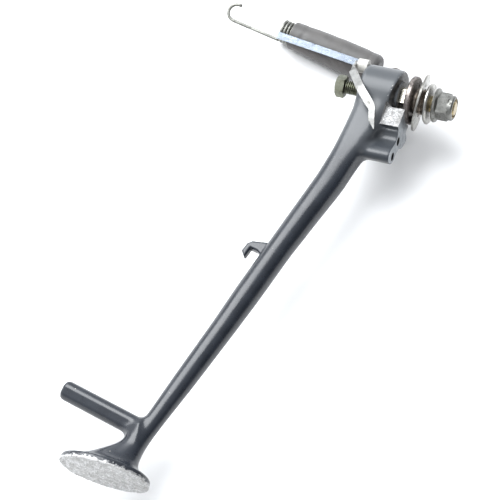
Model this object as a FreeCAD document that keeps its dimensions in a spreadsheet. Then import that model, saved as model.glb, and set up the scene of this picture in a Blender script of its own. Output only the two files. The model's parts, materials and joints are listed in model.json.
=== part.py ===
import FreeCAD, Part
import math
import os
import Sketcher

# Side stand of a motorcycle, laid on a bench, in millimetres.
# Origin: on the pivot axis, at the inboard face of the leg's pivot boss.
# +X runs along the pivot axis towards the machine, +Z is up off the bench.
# The leg lies in the XY plane, points towards -Y and leans towards -X.

Vec = FreeCAD.Vector
Rot = FreeCAD.Rotation
Place = FreeCAD.Placement
X_AXIS = Vec(1, 0, 0)
Y_AXIS = Vec(0, 1, 0)
Z_AXIS = Vec(0, 0, 1)

doc = FreeCAD.newDocument("side_stand")

# ---------------------------------------------------------------- driving dimensions

DIMENSIONS = {
    # pivot boss of the leg
    "boss_rad": 19.3,
    "boss_len": 28.0,
    "boss_bevel": 2.0,
    "bush_rad": 9.5,
    "bush_len": 11.0,
    "seal_rad": 11.6,
    "seal_wide": 2.0,
    "run_gap": 0.05,
    # pivot pin and the parts that sit on it
    "pin_rad": 8.0,
    "lug_seat": 6.2,
    "flat_start": -1.0,
    "flat_turn": 16.0,
    "flat_half": 6.2,
    "stud_rad": 5.95,
    "stud_end": 39.6,
    "stud_bore": 6.0,
    "thread_pitch": 1.5,
    "thread_deep": 0.8,
    "thrust_rad": 17.3,
    "thrust_thick": 4.0,
    "spacer_rad": 9.0,
    "spacer_len": 9.2,
    "spacer_groove": 1.3,
    "thin_rad": 20.6,
    "thin_bore": 10.4,
    "thin_thick": 1.4,
    "thin_lean": 9.0,
    "thin_drop": 0.9,
    "plain_rad": 14.6,
    "plain_thick": 2.6,
    "plain_gap": 3.6,
    "flange_rad": 12.4,
    "flange_thick": 1.8,
    "nut_half_corner": 10.0,
    "nut_tall": 9.6,
    "collar_rad": 8.9,
    "collar_len": 3.0,
    "ring_rad": 7.4,
    # retaining screw at the outboard end
    "screw_rad": 4.9,
    "screw_bore": 4.95,
    "screw_head_half": 8.1,
    "screw_head_tall": 6.6,
    "screw_stand_off": 13.4,
    "screw_deep": 15.0,
    "keeper_rad": 11.4,
    "keeper_thick": 1.8,
    # leg
    "leg_start": -7.7,
    "leg_lean": 14.6,
    "foot_reach": 347.7,
    "peg_reach": 308.2,
    "peg_tip": 68.0,
    "peg_rad": 7.0,
    "peg_bevel": 2.0,
    "catch_reach": 144.8,
    "catch_thick": 6.4,
    # sole
    "sole_half_long": 30.7,
    "sole_half_wide": 21.3,
    "sole_thick": 7.0,
    "sole_tilt": 4.0,
    "sole_turn": 14.8,
    "sole_shift": -5.56,
    # stop lug and switch lug
    "stop_top": 9.4,
    "stop_start": -5.6,
    "stop_near": -14.6,
    "stop_far": -30.0,
    "switch_start": -15.0,
    "washer_relief": 17.6,
    "switch_face": 8.0,
    "switch_hole_y": -40.65,
    "switch_hole_z": -2.45,
    "switch_pitch": 13.1,
    "switch_hole_rad": 3.1,
    "switch_hole_deep": 12.0,
    # strap and its post
    "post_y": 14.1,
    "post_z": 9.3,
    "post_rad": 5.0,
    "post_len": 5.4,
    "collar_wide": 2.0,
    "post_pin_rad": 2.2,
    "strap_wide": 6.4,
    "strap_thick": 1.8,
    # return spring
    "coil_rad": 7.4,
    "wire_rad": 1.15,
    "coil_pitch": 2.4,
    "coil_turns": 30,
    "boot_len": 69.0,
    "boot_rad": 12.2,
    "boot_end_rad": 10.6,
    "boot_bore": 9.0,
    "hook_run": 36.6,
    "hook_rad": 6.0,
    "hook_tip": 1.6,
    "stay_wide": 5.2,
    "stay_thick": 1.6,
    "stay_start": 10.0,
    "stay_end": 75.7,
    "anchor_rad": 4.0,
    "anchor_head_rad": 6.4,
    "anchor_root": 13.0,
    "anchor_over": 3.4,
    "anchor_head_thick": 1.8,
}

sheet = doc.addObject("Spreadsheet::Sheet", "dims")
for row, (alias, number) in enumerate(DIMENSIONS.items(), start=1):
    sheet.set("A%d" % row, alias)
    sheet.set("B%d" % row, repr(number))
    sheet.setAlias("B%d" % row, alias)
doc.recompute()


def dim(alias):
    """Value of one driving dimension."""
    return float(getattr(sheet, alias))


def value(expression):
    """Number that a sheet expression such as 'dims.boss_rad + 2' stands for."""
    return float(sheet.evalExpression(expression))


# ---------------------------------------------------------------- building helpers

def bind(thing, **expressions):
    """Ties properties of an object to sheet expressions; a double underscore stands for a dot."""
    for name, expression in expressions.items():
        thing.setExpression(name.replace("__", "."), expression)


def put_base(thing, axis, expression):
    """Ties one coordinate of an object's position to a sheet expression."""
    thing.setExpression(".Placement.Base.%s" % axis, expression)


def origin_plane(body, role):
    """One of a body's own origin planes, found by its role."""
    return next(item for item in body.Origin.OriginFeatures if item.Role == role)


def pin_point(sketch, edge, end, across, upward, name):
    """Ties a sketch point to two sheet expressions, measured from the sketch origin."""
    for kind, expression in (("DistanceX", across), ("DistanceY", upward)):
        label = name + kind[-1].lower()
        index = sketch.addConstraint(Sketcher.Constraint(kind, -1, 1, edge, end, value(expression)))
        sketch.renameConstraint(index, label)
        sketch.setExpression("Constraints." + label, expression)


def outline(body, name, role, points):
    """Closed outline of straight edges through points given as pairs of sheet expressions."""
    sketch = body.newObject("Sketcher::SketchObject", name)
    sketch.AttachmentSupport = (origin_plane(body, role), [""])
    sketch.MapMode = "FlatFace"
    corners = [Vec(value(across), value(upward), 0) for across, upward in points]
    count = len(corners)
    for index in range(count):
        sketch.addGeometry(Part.LineSegment(corners[index], corners[(index + 1) % count]), False)
    for index in range(count):
        sketch.addConstraint(Sketcher.Constraint("Coincident", index, 2, (index + 1) % count, 1))
    for index, (across, upward) in enumerate(points):
        pin_point(sketch, index, 1, across, upward, "corner%d" % index)
    return sketch


def turned(name, points):
    """Body turned about the X axis from an outline of (x, radius) expressions."""
    body = doc.addObject("PartDesign::Body", name)
    sketch = outline(body, name + "_section", "XY_Plane", points)
    turn = body.newObject("PartDesign::Revolution", name + "_turn")
    turn.Profile = sketch
    turn.ReferenceAxis = (sketch, ["H_Axis"])
    turn.Angle = 360
    sketch.Visibility = False
    return body


def ring(name, start, length, inner, outer):
    """Plain ring about the X axis."""
    end = "%s + %s" % (start, length)
    return turned(name, [(start, inner), (end, inner), (end, outer), (start, outer)])


def rod(name, radius, length, base, axis):
    """Cylinder from a point along a direction, with its radius and length tied to the sheet."""
    piece = doc.addObject("Part::Cylinder", name)
    bind(piece, Radius=radius, Height=length)
    piece.Placement = Place(base, Rot(Z_AXIS, axis))
    return piece


def fused(name, *pieces):
    union = doc.addObject("Part::MultiFuse", name)
    union.Shapes = list(pieces)
    return union


def cut(name, base, tool):
    result = doc.addObject("Part::Cut", name)
    result.Base = base
    result.Tool = tool
    return result


def hexagon(name, start, height, half_corner, chamfer):
    """Hexagonal prism about the X axis with its outer corners chamfered at both ends."""
    prism = doc.addObject("Part::Prism", name + "_prism")
    prism.Polygon = 6
    bind(prism, Circumradius=half_corner, Height=height)
    prism.Placement = Place(Vec(0, 0, 0), Rot(Z_AXIS, X_AXIS))
    put_base(prism, "x", start)
    end = "%s + %s" % (start, height)
    small = "%s - %s" % (half_corner, chamfer)
    shell = turned(name + "_limit", [
        (start, "0"), (end, "0"), (end, small), ("%s - %s * 0.6" % (end, chamfer), half_corner),
        ("%s + %s * 0.6" % (start, chamfer), half_corner), (start, small)])
    both = doc.addObject("Part::Common", name)
    both.Base = prism
    both.Tool = shell
    return both


def threaded(start, turns, major, pitch, deep):
    """Outline points of ring-shaped thread crests from start, for a whole number of turns."""
    points = []
    for turn in range(turns):
        foot = "%s + %s * %d" % (start, pitch, turn)
        points.append((foot, "%s - %s" % (major, deep)))
        points.append(("%s + %s * 0.4" % (foot, pitch), major))
        points.append(("%s + %s * 0.6" % (foot, pitch), major))
    return points


def flat_bar(name, start, end, wide, thick, face):
    """Straight flat bar between two points; face is the direction its broad side looks."""
    along = (end - start).normalize()
    side = face.cross(along).normalize()
    normal = along.cross(side).normalize()
    bar = doc.addObject("Part::Box", name)
    bind(bar, Width=wide, Height=thick)
    bar.Length = (end - start).Length
    turn = Rot(along, side, normal, "XYZ")
    shift = side * (value(wide) / 2) + normal * (value(thick) / 2)
    bar.Placement = Place(start - shift, turn)
    return bar


def named(thing, label):
    """Gives a finished sub-part the label that names its file."""
    thing.Label = label
    finished.append(thing)
    return thing


finished = []

# ---------------------------------------------------------------- frames

lean = Rot(Z_AXIS, -dim("leg_lean"))
leg_frame = Place(Vec(dim("leg_start"), 0, 0), lean)


def on_leg(across, down, upward=0.0):
    """Point given across the leg, down the leg and up off the bench."""
    return leg_frame.multVec(Vec(across, -down, upward))


sole_turn = Rot(X_AXIS, dim("sole_tilt")).multiply(Rot(Y_AXIS, dim("sole_turn")))
sole_long = sole_turn.multVec(X_AXIS)
sole_normal = sole_turn.multVec(Vec(0, -1, 0))
sole_centre = on_leg(0, dim("foot_reach")) + sole_long * dim("sole_shift")

# The spring lies outboard of the boss; its stud stands radially out of the boss.
spring_start = Vec(-29.0, 29.5, -17.9)
spring_axis = Vec(-0.979, 0.162, 0.120).normalize()
hook_side = Vec(-0.198, -0.884, -0.423)
hook_side = (hook_side - spring_axis * hook_side.dot(spring_axis)).normalize()
stay_side = spring_axis.cross(hook_side).normalize()
anchor_gap = 12.0
anchor_point = spring_start - spring_axis * anchor_gap
anchor_axis = Vec(0, anchor_point.y, anchor_point.z).normalize()
anchor_distance = Vec(0, anchor_point.y, anchor_point.z).Length


def on_spring(along, hookward=0.0, stayward=0.0):
    """Point given along the spring, towards its hook's offset side and towards the stay."""
    return spring_start + spring_axis * along + hook_side * hookward + stay_side * stayward


# ---------------------------------------------------------------- pivot hardware

spacer_start = "dims.lug_seat + dims.thrust_thick"
plain_start = spacer_start + " + dims.spacer_len"
thread_start = plain_start + " + dims.plain_thick + dims.plain_gap"
nut_start = thread_start + " - 0.6"
hex_start = nut_start + " + dims.flange_thick - 0.4"
hex_end = hex_start + " + dims.nut_tall"


def pivot_pin():
    """Headless pin: a journal that runs in the leg, two flats for the frame lug, then a stud."""
    thread_turns = 8
    section = [("-dims.boss_len", "dims.screw_bore"), ("-dims.boss_len", "dims.pin_rad - 0.6")]
    section += [("-dims.boss_len + 0.6", "dims.pin_rad"), ("dims.lug_seat", "dims.pin_rad")]
    section += [("dims.lug_seat", "dims.stud_rad"), (thread_start, "dims.stud_rad")]
    section += threaded(thread_start, thread_turns, "dims.stud_rad", "dims.thread_pitch", "dims.thread_deep")
    section += [("dims.stud_end - 0.8", "dims.stud_rad - dims.thread_deep")]
    section += [("dims.stud_end", "dims.stud_rad - 2 * dims.thread_deep"), ("dims.stud_end", "0")]
    section += [("-dims.boss_len + dims.screw_deep + 2", "0")]
    section += [("-dims.boss_len + dims.screw_deep", "dims.screw_bore")]
    blank = turned("pin_blank", section)
    flats = []
    for sign in (-1, 1):
        flat = doc.addObject("Part::Box", "pin_flat")
        bind(flat, Length="dims.lug_seat - dims.flat_start", Width="dims.pin_rad * 2", Height="dims.pin_rad")
        turn = Rot(X_AXIS, dim("flat_turn") + 90 + 90 * sign)
        corner = Vec(dim("flat_start"), -dim("pin_rad"), dim("flat_half"))
        flat.Placement = Place(turn.multVec(corner), turn)
        flats.append(flat)
    return cut("pin_with_flats", blank, fused("pin_flats", *flats))


def grooved_spacer():
    """Spacer tube with rounded bands, which holds the thin washer loosely."""
    bands = 4
    section = [(spacer_start, "dims.stud_bore"), (plain_start, "dims.stud_bore")]
    step = "dims.spacer_len / %d" % bands
    for band in reversed(range(bands)):
        left = "%s + %s * %d" % (spacer_start, step, band)
        section.append(("%s + %s" % (left, step), "dims.spacer_rad - 0.5"))
        section.append(("%s + %s * 0.8" % (left, step), "dims.spacer_rad"))
        section.append(("%s + %s * 0.35" % (left, step), "dims.spacer_rad"))
        section.append(("%s + %s * 0.15" % (left, step), "dims.spacer_rad - 0.5"))
        section.append(("%s + %s * 0.1" % (left, step), "dims.spacer_rad - dims.spacer_groove"))
        section.append((left, "dims.spacer_rad - dims.spacer_groove"))
    return turned("spacer_blank", section)


def thin_washer():
    """Thin washer that hangs tilted on the spacer."""
    washer = ring("thin_blank", "-dims.thin_thick / 2", "dims.thin_thick", "dims.thin_bore", "dims.thin_rad")
    middle = value(spacer_start + " + dims.spacer_len * 0.41")
    washer.Placement = Place(Vec(middle, 0, -dim("thin_drop")), Rot(Y_AXIS, dim("thin_lean")))
    return washer


def rounded_washer(name, start, thick, inner, outer, edge):
    """Washer about the X axis with bevelled outer corners."""
    end = "%s + %s" % (start, thick)
    return turned(name, [(start, inner), (end, inner), (end, "%s - %s" % (outer, edge)),
                         ("%s - %s" % (end, edge), outer), ("%s + %s" % (start, edge), outer),
                         (start, "%s - %s" % (outer, edge))])


def flange_nut():
    """Hexagon nut with a round flange and a collar that grips the locking ring."""
    body = hexagon("nut_hex", hex_start, "dims.nut_tall", "dims.nut_half_corner", "1.2")
    flange_end = nut_start + " + dims.flange_thick"
    flange = turned("nut_flange", [
        (nut_start, "dims.stud_bore"), (nut_start + " + 6", "dims.stud_bore"), (nut_start + " + 6", "8.4"),
        (flange_end + " + 1.4", "8.4"), (flange_end, "dims.flange_rad - 0.5"),
        (nut_start + " + 0.7", "dims.flange_rad"), (nut_start, "dims.flange_rad - 0.3")])
    collar_end = hex_end + " + dims.collar_len"
    collar = turned("nut_collar", [
        (hex_end + " - 1", "dims.ring_rad"), (collar_end + " - 0.5", "dims.ring_rad"),
        (collar_end + " - 0.5", "dims.ring_rad - 0.5"), (collar_end, "dims.ring_rad - 0.5"),
        (collar_end, "dims.collar_rad - 0.9"), (collar_end + " - 0.9", "dims.collar_rad"),
        (hex_end + " - 1", "dims.collar_rad")])
    bore = rod("nut_bore", "dims.stud_bore", "dims.nut_tall + 8", Vec(0, 0, 0), X_AXIS)
    put_base(bore, "x", nut_start + " - 1")
    pocket = rod("nut_pocket", "dims.ring_rad", "dims.collar_len + 0.5", Vec(0, 0, 0), X_AXIS)
    put_base(pocket, "x", hex_end + " - 1")
    hollow = fused("nut_hollow", bore, pocket)
    return fused("nut_whole", cut("nut_body", body, hollow), cut("nut_base", flange, bore), collar)


def locking_ring():
    """Nylon ring in the nut's collar."""
    return ring("locking_blank", hex_end + " - 1", "dims.collar_len + 0.5", "dims.stud_bore", "dims.ring_rad")


def retaining_screw():
    """Hexagon screw in the pin's outboard end, backed out so that its thread shows."""
    head_end = "-dims.boss_len - dims.screw_stand_off"
    head = hexagon("screw_head", head_end + " - dims.screw_head_tall", "dims.screw_head_tall",
                   "dims.screw_head_half", "1.3")
    turns = 9
    section = [(head_end + " - 1", "0"), (head_end + " - 1", "dims.screw_rad - dims.thread_deep")]
    section += threaded(head_end, turns, "dims.screw_rad", "dims.thread_pitch", "dims.thread_deep")
    section += [("-dims.boss_len + 0.3", "dims.screw_rad - dims.thread_deep")]
    bottom = "-dims.boss_len + dims.screw_deep"
    section += [("-dims.boss_len + 0.7", "dims.screw_rad"), (bottom + " - 2", "dims.screw_rad")]
    section += [(bottom + " - 1", "dims.screw_rad - 1"), (bottom + " - 1", "0")]
    return fused("screw_whole", head, turned("screw_shank", section))


named(pivot_pin(), "pivot_pin")
named(rounded_washer("thrust_blank", "dims.lug_seat", "dims.thrust_thick", "dims.stud_bore",
                     "dims.thrust_rad", "0.8"), "thrust_washer")
named(grooved_spacer(), "grooved_spacer")
named(thin_washer(), "thin_washer")
named(rounded_washer("plain_blank", plain_start, "dims.plain_thick", "dims.stud_bore",
                     "dims.plain_rad", "0.8"), "plain_washer")
named(flange_nut(), "flange_lock_nut")
named(locking_ring(), "nut_locking_ring")
named(retaining_screw(), "retaining_screw")
named(rounded_washer("keeper_blank", "-dims.boss_len - 0.15 - dims.keeper_thick", "dims.keeper_thick",
                     "dims.screw_rad + 0.05", "dims.keeper_rad", "0.5"), "keeper_washer")

# ---------------------------------------------------------------- leg forging

# Bar sections: distance down the leg, shift across, half size across, half size upward.
BAR_SECTIONS = (
    (10.0, -3.5, 13.4, 16.5),
    (34.0, -0.8, 13.2, 13.0),
    (61.0, -0.1, 10.9, 10.9),
    (90.0, 0.8, 10.3, 10.3),
    (140.0, 0.4, 9.4, 9.4),
    (185.0, 0.6, 9.0, 9.0),
    (245.0, 0.7, 7.8, 7.8),
    (294.0, 0.4, 6.5, 6.6),
    (318.0, -0.6, 7.6, 7.6),
)


def oval(name, across_half, up_half, place):
    """Closed oval wire whose long axis is whichever half size is the larger."""
    curve = doc.addObject("Part::Ellipse", name)
    if across_half >= up_half:
        curve.MajorRadius = across_half
        curve.MinorRadius = up_half
        curve.Placement = place
    else:
        curve.MajorRadius = up_half
        curve.MinorRadius = across_half
        curve.Placement = place.multiply(Place(Vec(0, 0, 0), Rot(Z_AXIS, 90)))
    return curve


def bar():
    """Lofted bar from inside the boss to the top of the sole."""
    face_down = Rot(X_AXIS, 90)
    ovals = []
    for number, (down, shift, across_half, up_half) in enumerate(BAR_SECTIONS):
        place = leg_frame.multiply(Place(Vec(shift, -down, 0), face_down))
        ovals.append(oval("bar_oval%d" % number, across_half, up_half, place))
    top = sole_centre - sole_normal * dim("sole_thick")
    top = top + sole_long * 3.0
    place = Place(top, sole_turn.multiply(face_down))
    ovals.append(oval("bar_foot", 21.0, 15.0, place))
    loft = doc.addObject("Part::Loft", "bar_loft")
    loft.Sections = ovals
    loft.Solid = True
    loft.Ruled = False
    return loft


def slab(name, role, points, length, place):
    """Prism padded along the normal of one of its body's planes from an outline in that plane."""
    body = doc.addObject("PartDesign::Body", name)
    sketch = outline(body, name + "_outline", role, points)
    pad = body.newObject("PartDesign::Pad", name + "_pad")
    pad.Profile = sketch
    pad.setExpression("Length", length)
    sketch.Visibility = False
    body.Placement = place
    return body


# The switch lug seen along the pivot axis, as (y, z): a scooped top, a round nose and a sloping keel.
SWITCH_OUTLINE = (
    ("-30.3", "dims.stop_top - 1.6"), ("-33.1", "3.0"), ("-36.5", "1.8"), ("-40.1", "3.0"), ("-44.5", "5.2"),
    ("-48.0", "6.9"), ("-52.6", "7.1"), ("-55.5", "4.0"), ("-54.9", "0.9"), ("-52.0", "-5.8"),
    ("-46.8", "-8.4"), ("-40.4", "-8.0"), ("-35.5", "-9.9"), ("-31.7", "-15.7"), ("-20.6", "-20.5"),
    ("-19.5", "-12.0"))


def leg_forging():
    """Boss, bar, stop lug and switch lug in one forging, bored for the pin, bushes and seals."""
    boss = turned("boss", [
        ("-dims.boss_len", "0"), ("-dims.boss_len", "dims.boss_rad - dims.boss_bevel"),
        ("-dims.boss_len + dims.boss_bevel", "dims.boss_rad"), ("-dims.boss_bevel", "dims.boss_rad"),
        ("0", "dims.boss_rad - dims.boss_bevel"), ("0", "0")])
    stop = slab("stop_lug", "YZ_Plane", [
        ("dims.stop_near", "-10"), ("dims.stop_near", "dims.stop_top"),
        ("dims.stop_far", "dims.stop_top"), ("dims.stop_far", "-10")],
        "dims.switch_face - dims.stop_start", Place(Vec(dim("stop_start"), 0, 0), Rot()))
    switch = slab("switch_lug", "YZ_Plane", SWITCH_OUTLINE, "dims.switch_face - dims.switch_start",
                  Place(Vec(dim("switch_start"), 0, 0), Rot()))
    whole = fused("forging_blank", boss, bar(), stop, switch)
    tools = []
    seat_deep = "dims.seal_wide + dims.bush_len"
    for name, radius, start, length in (
            ("bore_pin", "dims.pin_rad + 0.3", "-dims.boss_len - 1", "dims.boss_len + 2"),
            ("bore_bush_out", "dims.bush_rad", "-dims.boss_len - 1", seat_deep + " + 1"),
            ("bore_bush_in", "dims.bush_rad", "-dims.seal_wide - dims.bush_len", seat_deep + " + 1"),
            ("bore_seal_out", "dims.seal_rad", "-dims.boss_len - 1", "dims.seal_wide + 1"),
            ("bore_seal_in", "dims.seal_rad", "-dims.seal_wide", "dims.seal_wide + 1"),
            ("washer_relief", "dims.washer_relief", "dims.lug_seat - 0.3", "8")):
        tool = rod(name, radius, length, Vec(0, 0, 0), X_AXIS)
        put_base(tool, "x", start)
        tools.append(tool)
    for sign in (-1, 1):
        hole = rod("switch_hole", "dims.switch_hole_rad", "dims.switch_hole_deep + 1", Vec(0, 0, 0), X_AXIS)
        put_base(hole, "x", "dims.switch_face - dims.switch_hole_deep")
        put_base(hole, "y", "dims.switch_hole_y + dims.switch_pitch / 2 * %d" % sign)
        put_base(hole, "z", "dims.switch_hole_z")
        tools.append(hole)
    post_hole = rod("post_hole", "dims.post_pin_rad", "9", Vec(0, 0, 0), X_AXIS)
    put_base(post_hole, "x", "-dims.boss_len - 1")
    put_base(post_hole, "y", "dims.post_y")
    put_base(post_hole, "z", "dims.post_z")
    stud_root = anchor_axis * dim("anchor_root") + X_AXIS * anchor_point.x
    stud_hole = rod("anchor_hole", "dims.anchor_rad", "12", stud_root, anchor_axis)
    tools += [post_hole, stud_hole]
    return cut("forging", whole, fused("forging_tools", *tools))


forging = named(leg_forging(), "leg_forging")


def sole_plate():
    """Oval ground plate with a bevelled upper rim."""
    turn = sole_turn.multiply(Rot(X_AXIS, 90))
    half_long = dim("sole_half_long")
    half_wide = dim("sole_half_wide")
    lower = oval("sole_lower", half_long, half_wide, Place(sole_centre, turn))
    middle_at = sole_centre - sole_normal * (dim("sole_thick") * 0.6)
    middle = oval("sole_middle", half_long - 0.4, half_wide - 0.4, Place(middle_at, turn))
    upper_at = sole_centre - sole_normal * dim("sole_thick")
    upper = oval("sole_upper", half_long - 4, half_wide - 4, Place(upper_at, turn))
    loft = doc.addObject("Part::Loft", "sole_loft")
    loft.Sections = [lower, middle, upper]
    loft.Solid = True
    loft.Ruled = True
    return loft


def kick_peg():
    """Round peg welded to the bar, square to it, with a bevelled end."""
    base = on_leg(0, dim("peg_reach"))
    along = lean.multVec(Vec(-1, 0, 0))
    shaft = rod("peg_shaft", "dims.peg_rad", "dims.peg_tip - dims.peg_bevel", base, along)
    bevel = doc.addObject("Part::Cone", "peg_bevel")
    bind(bevel, Radius1="dims.peg_rad", Radius2="dims.peg_rad - dims.peg_bevel", Height="dims.peg_bevel")
    bevel.Placement = Place(base + along * (dim("peg_tip") - dim("peg_bevel")), Rot(Z_AXIS, along))
    return cut("peg_fitted", fused("peg_blank", shaft, bevel), forging)


def catch_hook():
    """Flat hook welded to the side of the leg, thick at its root, with its mouth towards the foot."""
    corners = ((-4.0, -2.0), (-9.4, 0.0), (-19.2, 3.8), (-21.5, 7.2), (-21.7, 13.8), (-17.4, 17.2),
               (-17.0, 14.8), (-17.0, 9.1), (-11.8, 9.1), (-8.1, 10.7), (-4.0, 12.0))
    points = [(repr(across), "-dims.catch_reach - %r" % down) for across, down in corners]
    place = leg_frame.multiply(Place(Vec(0, 0, -dim("catch_thick") / 2), Rot()))
    return cut("catch_fitted", slab("catch_blank", "XY_Plane", points, "dims.catch_thick", place), forging)


named(sole_plate(), "sole_plate")
named(kick_peg(), "kick_peg")
named(catch_hook(), "catch_hook")

running_bore = "dims.pin_rad + dims.run_gap"
for side, seal_start, bush_start in (
        ("outboard", "-dims.boss_len", "-dims.boss_len + dims.seal_wide"),
        ("inboard", "-dims.seal_wide", "-dims.seal_wide - dims.bush_len")):
    bush = ring("bush_blank", bush_start, "dims.bush_len", running_bore, "dims.bush_rad")
    named(bush, "bush_" + side)
    seal = ring("seal_blank", seal_start, "dims.seal_wide", running_bore, "dims.seal_rad")
    named(seal, "seal_" + side)

# ---------------------------------------------------------------- strap and post

def post_ring(name, start, length):
    """Ring on the post pin."""
    blank = ring(name, start, length, "dims.post_pin_rad", "dims.post_rad")
    put_base(blank, "y", "dims.post_y")
    put_base(blank, "z", "dims.post_z")
    return blank


strap_x = -dim("boss_len") - dim("post_len") - dim("collar_wide") - dim("strap_thick") / 2


def post_pin():
    """Pin pressed into the boss's outboard face, with a low head over the strap's eye."""
    eye_face = "-dims.boss_len - dims.post_len - dims.collar_wide - dims.strap_thick"
    blank = turned("post_pin_blank", [
        ("-dims.boss_len + 8", "0"), ("-dims.boss_len + 8", "dims.post_pin_rad"),
        (eye_face, "dims.post_pin_rad"), (eye_face, "dims.post_pin_rad + 1.2"),
        (eye_face + " - 0.8", "dims.post_pin_rad + 0.8"), (eye_face + " - 1", "0")])
    put_base(blank, "y", "dims.post_y")
    put_base(blank, "z", "dims.post_z")
    return blank


def strap():
    """Flat strip: an eye on the post, then bends over the front of the boss to a free tip."""
    eye_at = Vec(strap_x, dim("post_y"), dim("post_z"))
    bend = Vec(strap_x, 5.1, 16.4)
    crown = Vec(-24.2, -12.3, 23.0)
    shoulder = Vec(-11.3, -25.7, 20.5)
    tip = Vec(-8.2, -39.6, 15.5)
    wide = "dims.strap_wide"
    thick = "dims.strap_thick"
    eye = rod("strap_eye", "dims.post_rad - 0.4", thick, eye_at - X_AXIS * (dim("strap_thick") / 2), X_AXIS)
    pieces = [eye, flat_bar("strap_upper", eye_at, bend, wide, thick, X_AXIS),
              flat_bar("strap_bend", bend, crown, wide, thick, Z_AXIS),
              flat_bar("strap_middle", crown, shoulder, wide, thick, Z_AXIS),
              flat_bar("strap_lower", shoulder, tip, wide + " * 0.7", thick, Z_AXIS)]
    pin = rod("strap_hole", "dims.post_pin_rad", "20", eye_at - X_AXIS * 10, X_AXIS)
    return cut("strap_holed", fused("strap_blank", *pieces), pin)


named(post_pin(), "post_pin")
collar_start = "-dims.boss_len - dims.collar_wide"
named(post_ring("sleeve_blank", collar_start + " - dims.post_len", "dims.post_len"), "post_sleeve")
named(post_ring("collar_blank", collar_start, "dims.collar_wide"), "post_collar")
named(strap(), "guide_strap")

# ---------------------------------------------------------------- return spring

spring_turn = Rot(hook_side, stay_side, spring_axis, "XYZ")


def wire_chain(name, points):
    """Round wire through straight stretches, with a ball at each corner and end."""
    pieces = []
    for start, end in zip(points, points[1:]):
        pieces.append(rod(name + "_run", "dims.wire_rad", repr((end - start).Length), start, end - start))
    for corner in points:
        ball = doc.addObject("Part::Sphere", name + "_ball")
        bind(ball, Radius="dims.wire_rad")
        ball.Placement = Place(corner, Rot())
        pieces.append(ball)
    return pieces


def wire_bow(name, centre, towards_start, normal, radius, sweep):
    """Wire bent round a centre, from one direction through a sweep angle about a normal."""
    bow = doc.addObject("Part::Torus", name)
    bind(bow, Radius1=radius, Radius2="dims.wire_rad")
    bow.Angle3 = sweep
    bow.Placement = Place(centre, Rot(towards_start, normal.cross(towards_start), normal, "XYZ"))
    return bow


def return_spring():
    """Close-wound coil with a long wire hook at one end and an eye around the anchor stud."""
    coil_start = 6.0
    radius = dim("coil_rad")
    coil_end = coil_start + dim("coil_pitch") * dim("coil_turns")
    helix = doc.addObject("Part::Helix", "coil_path")
    bind(helix, Pitch="dims.coil_pitch", Height="dims.coil_pitch * dims.coil_turns", Radius="dims.coil_rad")
    helix.Placement = Place(on_spring(coil_start), spring_turn)
    section = doc.addObject("Part::Circle", "coil_section")
    bind(section, Radius="dims.wire_rad")
    section.Placement = Place(on_spring(coil_start, radius), Rot(Z_AXIS, stay_side))
    coil = doc.addObject("Part::Sweep", "coil")
    coil.Sections = [section]
    coil.Spine = helix
    coil.Solid = True
    coil.Frenet = True
    run_end = coil_end + dim("hook_run")
    hook = dim("hook_rad")
    pieces = wire_chain("hook_run", [on_spring(coil_end, radius), on_spring(run_end, radius)])
    pieces += wire_chain("hook_tip", [on_spring(run_end, radius - 2 * hook),
                                      on_spring(run_end - dim("hook_tip"), radius - 2 * hook - 0.2)])
    pieces.append(wire_bow("hook_bow", on_spring(run_end, radius - hook), hook_side, stay_side * -1,
                           "dims.hook_rad", 180))
    eye = dim("anchor_rad") + dim("wire_rad") + 0.1
    across = anchor_axis.cross(spring_axis).normalize()
    along = across.cross(anchor_axis).normalize()
    pieces += wire_chain("eye_run", [on_spring(coil_start, radius), on_spring(coil_start - 1.2, 0.3),
                                     anchor_point + along * eye])
    pieces.append(wire_bow("eye_bow", anchor_point, along, anchor_axis,
                           "dims.anchor_rad + dims.wire_rad + 0.1", 360))
    return fused("spring_blank", coil, *pieces)


def rubber_boot():
    """Rubber sleeve over the coil, drawn in at both ends."""
    body = turned("boot_blank", [
        ("0", "4.2"), ("3", "4.2"), ("4", "dims.boot_bore"), ("dims.boot_len", "dims.boot_bore"),
        ("dims.boot_len", "dims.boot_end_rad"), ("dims.boot_len - 14", "dims.boot_end_rad + 0.5"),
        ("dims.boot_len - 30", "dims.boot_rad - 0.4"), ("dims.boot_len / 2", "dims.boot_rad"),
        ("6", "dims.boot_rad"), ("1", "dims.boot_rad - 1.4"), ("0", "dims.boot_rad - 3")])
    body.Placement = Place(spring_start, Rot(spring_axis, hook_side, stay_side, "XYZ"))
    return body


def boot_stay():
    """Flat strip that lies along the boot."""
    lift = dim("boot_rad") + dim("stay_thick") / 2 + 0.15
    start = on_spring(dim("stay_start"), 0.6, lift)
    end = on_spring(dim("stay_end"), 5.2, lift)
    return flat_bar("stay_bar", start, end, "dims.stay_wide", "dims.stay_thick", stay_side)


def anchor_stud():
    """Headed stud pressed radially into the boss, which the spring's eye hooks over."""
    base = X_AXIS * anchor_point.x
    head_at = anchor_distance + dim("anchor_over")
    shank = rod("anchor_shank", "dims.anchor_rad", "%f - dims.anchor_root" % head_at,
                base + anchor_axis * dim("anchor_root"), anchor_axis)
    head = rod("anchor_head", "dims.anchor_head_rad", "dims.anchor_head_thick",
               base + anchor_axis * (head_at - 0.8), anchor_axis)
    return fused("anchor_blank", shank, head)


named(anchor_stud(), "anchor_stud")
named(return_spring(), "return_spring")
named(rubber_boot(), "rubber_boot")
named(boot_stay(), "boot_stay")

# ---------------------------------------------------------------- check and write

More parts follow.
